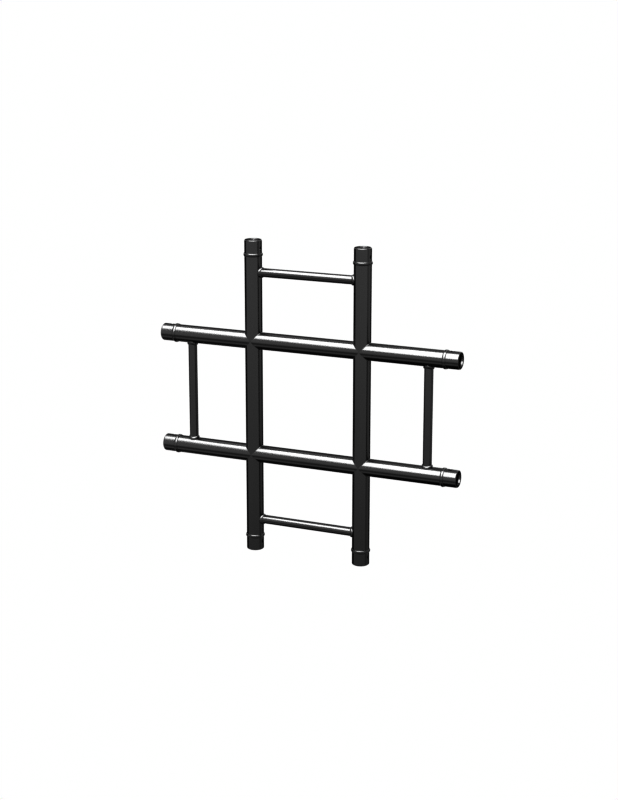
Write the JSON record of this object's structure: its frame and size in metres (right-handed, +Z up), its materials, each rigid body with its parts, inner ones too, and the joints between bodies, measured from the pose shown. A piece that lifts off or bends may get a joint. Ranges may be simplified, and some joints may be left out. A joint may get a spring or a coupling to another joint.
{
  "type": "lighting truss junction",
  "caption": "Flat cross-shaped junction of black tube for ladder truss: paired chords cross at right angles and end in conical coupler sockets.",
  "frame": {"origin": "the centre of the cross, midway between both pairs of chords and in their common plane", "axes": "+Z up along the upright chords, +X along the level chords, -Y towards the front; all chord axes lie in the XZ plane"},
  "size_m": [0.93, 0.055, 0.93],
  "materials": {
    "chord_tube": "gloss",
    "brace_tube": "gloss",
    "coupler_receiver": "gloss",
    "weld_bead": "satin"
  },
  "bodies": {
    "root": {"chord_upright_left": "chord_tube", "chord_upright_right": "chord_tube", "chord_upper_left_arm": "chord_tube", "chord_upper_middle": "chord_tube", "chord_upper_right_arm": "chord_tube", "chord_lower_left_arm": "chord_tube", "chord_lower_middle": "chord_tube", "chord_lower_right_arm": "chord_tube", "receiver_top_left": "coupler_receiver", "receiver_top_right": "coupler_receiver", "receiver_bottom_left": "coupler_receiver", "receiver_bottom_right": "coupler_receiver", "receiver_left_upper": "coupler_receiver", "receiver_left_lower": "coupler_receiver", "receiver_right_upper": "coupler_receiver", "receiver_right_lower": "coupler_receiver", "brace_top": "brace_tube", "brace_bottom": "brace_tube", "brace_left": "brace_tube", "brace_right": "brace_tube", "weld_receiver_top_left": "weld_bead", "weld_receiver_top_right": "weld_bead", "weld_receiver_bottom_left": "weld_bead", "weld_receiver_bottom_right": "weld_bead", "weld_receiver_left_upper": "weld_bead", "weld_receiver_left_lower": "weld_bead", "weld_receiver_right_upper": "weld_bead", "weld_receiver_right_lower": "weld_bead", "weld_brace_top_left": "weld_bead", "weld_brace_top_right": "weld_bead", "weld_brace_bottom_left": "weld_bead", "weld_brace_bottom_right": "weld_bead", "weld_brace_left_upper": "weld_bead", "weld_brace_left_lower": "weld_bead", "weld_brace_right_upper": "weld_bead", "weld_brace_right_lower": "weld_bead", "weld_upper_left_top_right": "weld_bead", "weld_upper_left_bottom_right": "weld_bead", "weld_upper_left_bottom_left": "weld_bead", "weld_upper_left_top_left": "weld_bead", "weld_upper_right_top_right": "weld_bead", "weld_upper_right_bottom_right": "weld_bead", "weld_upper_right_bottom_left": "weld_bead", "weld_upper_right_top_left": "weld_bead", "weld_lower_left_top_right": "weld_bead", "weld_lower_left_bottom_right": "weld_bead", "weld_lower_left_bottom_left": "weld_bead", "weld_lower_left_top_left": "weld_bead", "weld_lower_right_top_right": "weld_bead", "weld_lower_right_bottom_right": "weld_bead", "weld_lower_right_bottom_left": "weld_bead", "weld_lower_right_top_left": "weld_bead"}
  },
  "joints": []
}
